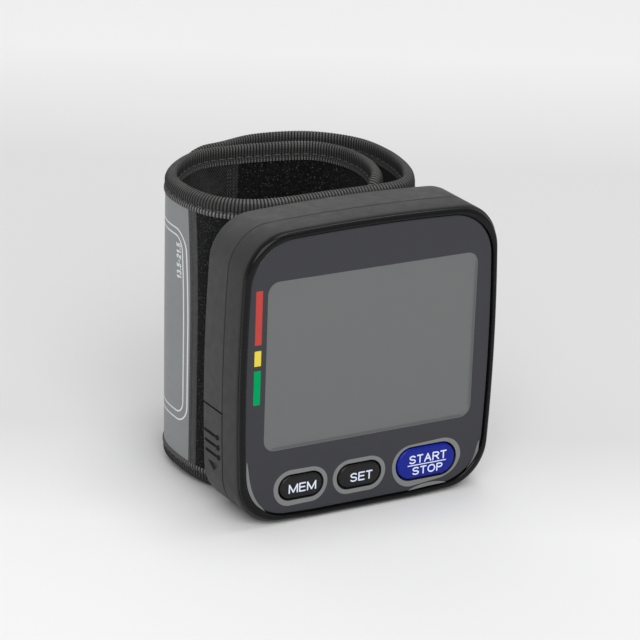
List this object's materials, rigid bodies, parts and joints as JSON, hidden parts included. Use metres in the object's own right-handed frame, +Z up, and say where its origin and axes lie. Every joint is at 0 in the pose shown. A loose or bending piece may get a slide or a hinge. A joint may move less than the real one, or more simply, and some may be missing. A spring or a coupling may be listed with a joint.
{
  "type": "wrist blood pressure monitor",
  "caption": "Upright wrist blood pressure monitor: flat housing with display window and pill keys, fixed to a rolled fabric wrist cuff with a fold-open flap.",
  "frame": {"origin": "middle of the front shell's flat bottom, where the housing stands", "axes": "+X to the right as seen from the front, +Y back from the display towards the cuff, +Z up"},
  "size_m": [0.071, 0.0718, 0.074],
  "materials": {
    "shell_plastic": "fine matte dark grey",
    "bezel_plastic": "polished black",
    "lens_print": "clear lens printed dark grey behind",
    "key_black": "satin black with white lettering",
    "key_blue": "satin blue with white lettering",
    "display_glass": "unlit grey liquid crystal glass",
    "rubber_parts": "soft matte",
    "circuit_board": "green solder mask",
    "component_black": "matte black",
    "moulded_white": "natural white moulding",
    "steel": "plain steel",
    "contact_nickel": "nickel plated",
    "cell_wrap": "plain printed wrap",
    "loop_cloth": "black napped loop cloth",
    "label_cloth": "satin grey coated cloth",
    "lining_cloth": "black woven nylon",
    "tape_cloth": "black ribbed binding tape",
    "hook_cloth": "black hook tape",
    "foam": "soft grey foam",
    "stiffener_sheet": "translucent sheet"
  },
  "bodies": {
    "monitor": {"bezel_ring": "bezel_plastic", "display_lens": "lens_print", "front_shell": "shell_plastic", "rear_shell": "shell_plastic", "keypad_mat": "rubber_parts", "display_panel": "display_glass", "connector_strip": "rubber_parts", "main_board": "circuit_board", "controller_chip": "component_black", "buzzer": "component_black", "pump_motor": "steel", "pump_head": "moulded_white", "air_manifold": "moulded_white", "air_valve": "steel", "pressure_sensor": "component_black", "pump_tube": "rubber_parts", "valve_tube": "rubber_parts", "sensor_tube": "rubber_parts", "upper_cell": "cell_wrap", "lower_cell": "cell_wrap", "contact_jumper": "contact_nickel", "positive_contact": "contact_nickel", "negative_contact": "contact_nickel", "housing_screw_1": "steel", "housing_screw_2": "steel", "housing_screw_3": "steel", "housing_screw_4": "steel", "back_loop_panel": "loop_cloth", "label_panel": "label_cloth", "front_loop_panel": "loop_cloth", "curl_stiffener": "stiffener_sheet", "mounting_plate": "component_black", "air_bladder": "rubber_parts", "cuff_lining": "lining_cloth", "cuff_tape": "tape_cloth", "cuff_screw_1": "steel", "cuff_screw_2": "steel", "cuff_screw_3": "steel", "cuff_screw_4": "steel"},
    "cover": {"battery_cover": "shell_plastic"},
    "mem_key": {"mem_button": "key_black"},
    "set_key": {"set_button": "key_black"},
    "start_key": {"start_stop_button": "key_blue"},
    "flap_side": {"flap_side_cloth": "loop_cloth", "flap_side_foam": "foam", "flap_side_lining": "lining_cloth", "flap_side_tape_top": "tape_cloth", "flap_side_tape_bottom": "tape_cloth"},
    "flap_tip": {"flap_tip_cloth": "loop_cloth", "flap_tip_foam": "foam", "flap_tip_lining": "lining_cloth", "hook_patch": "hook_cloth", "flap_tip_tape": "tape_cloth"}
  },
  "joints": [
    {"name": "battery_cover_slide", "type": "slide", "parent": "monitor", "child": "cover", "axis": [0, 0, -1], "range_m": [0, 0.03]},
    {"name": "mem_press", "type": "slide", "parent": "monitor", "child": "mem_key", "axis": [0, 1, 0], "range_m": [0, 0.0006], "stiffness_N_per_m": 1500, "deforming": ["keypad_mat"]},
    {"name": "set_press", "type": "slide", "parent": "monitor", "child": "set_key", "axis": [0, 1, 0], "range_m": [0, 0.0006], "stiffness_N_per_m": 1500, "deforming": ["keypad_mat"]},
    {"name": "start_stop_press", "type": "slide", "parent": "monitor", "child": "start_key", "axis": [0, 1, 0], "range_m": [0, 0.0006], "stiffness_N_per_m": 1500, "deforming": ["keypad_mat"]},
    {"name": "cuff_flap_base", "type": "hinge", "parent": "monitor", "child": "flap_side", "pos_m": [0.02354, 0.01745, 0.037], "axis": [0, 0, -1], "range_deg": [0, 60]},
    {"name": "cuff_flap_tip", "type": "hinge", "parent": "flap_side", "child": "flap_tip", "pos_m": [0.03045, 0.04896, 0.037], "axis": [0, 0, -1], "range_deg": [0, 60]}
  ]
}
